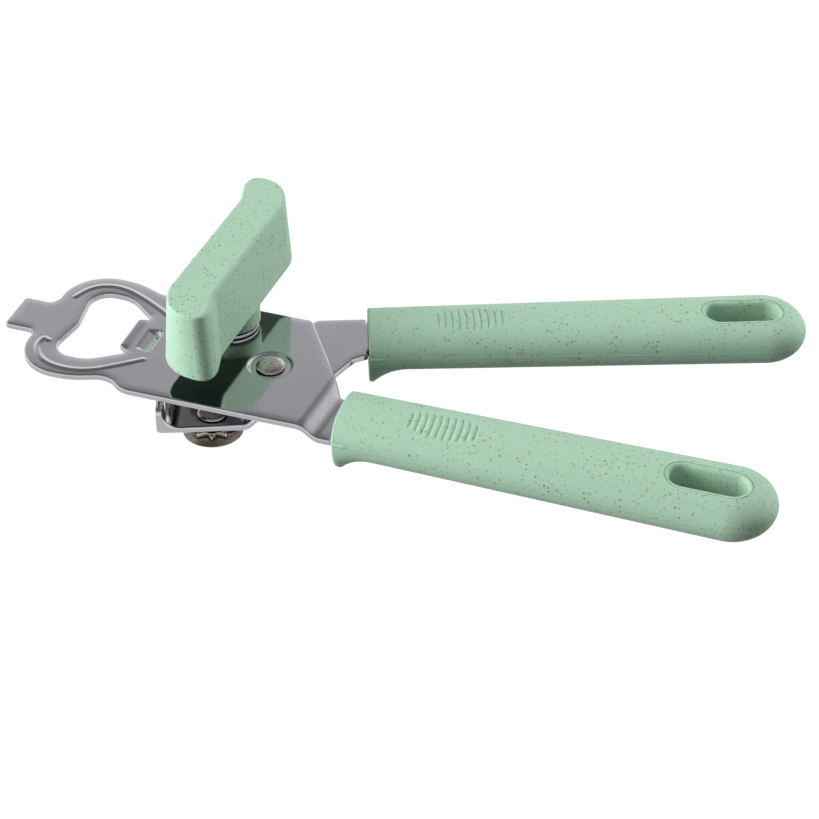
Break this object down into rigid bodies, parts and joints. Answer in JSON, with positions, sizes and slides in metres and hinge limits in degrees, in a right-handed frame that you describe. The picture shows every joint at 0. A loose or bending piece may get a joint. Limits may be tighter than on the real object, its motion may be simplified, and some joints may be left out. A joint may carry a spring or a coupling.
{
  "type": "can opener",
  "caption": "Hand-held can opener with two pivoting plastic-gripped levers, a butterfly turning knob, feed wheel, cutter wheel and bottle-opener end.",
  "frame": {"origin": "middle of the bottom of the bounding box", "axes": "+X from the bottle-opener tip to the grip tails, +Y from the front grip to the rear grip, +Z square to the plates on the knob's side"},
  "size_m": [0.2102, 0.1152, 0.0396],
  "materials": {
    "chromed_steel": "chromed, satin-speckled sheet steel",
    "wheel_steel": "turned and hardened steel, slightly brown",
    "dark_steel": "plain turned steel",
    "mint_plastic": "matte moulded plastic with brown straw flecks"
  },
  "bodies": {
    "front_half": {"front_lever": "chromed_steel", "front_grip": "mint_plastic", "pivot_rivet": "wheel_steel", "pivot_washer": "chromed_steel", "knob_washer": "chromed_steel", "shaft_bush": "dark_steel", "thrust_washer": "chromed_steel"},
    "rear_half": {"rear_lever": "chromed_steel", "rear_grip": "mint_plastic", "cutter_stud": "wheel_steel", "cutter_spacer": "chromed_steel"},
    "knob_drive": {"knob": "mint_plastic", "feed_shaft": "dark_steel", "feed_wheel": "wheel_steel", "feed_collar": "dark_steel"},
    "cutter": {"cutter_blade": "wheel_steel", "rim_star": "wheel_steel"}
  },
  "joints": [
    {"name": "lever_pivot", "type": "hinge", "parent": "front_half", "child": "rear_half", "pos_m": [-0.03481, 0.00588, 0.011], "axis": [0, 0, 1], "range_deg": [-21, 35]},
    {"name": "knob_turn", "type": "hinge", "parent": "front_half", "child": "knob_drive", "pos_m": [-0.04576, 0.02398, 0.01], "axis": [0, 0, 1], "continuous": true},
    {"name": "cutter_spin", "type": "hinge", "parent": "rear_half", "child": "cutter", "pos_m": [-0.0494, -0.00368, 0.003], "axis": [0, 0, 1], "continuous": true}
  ]
}
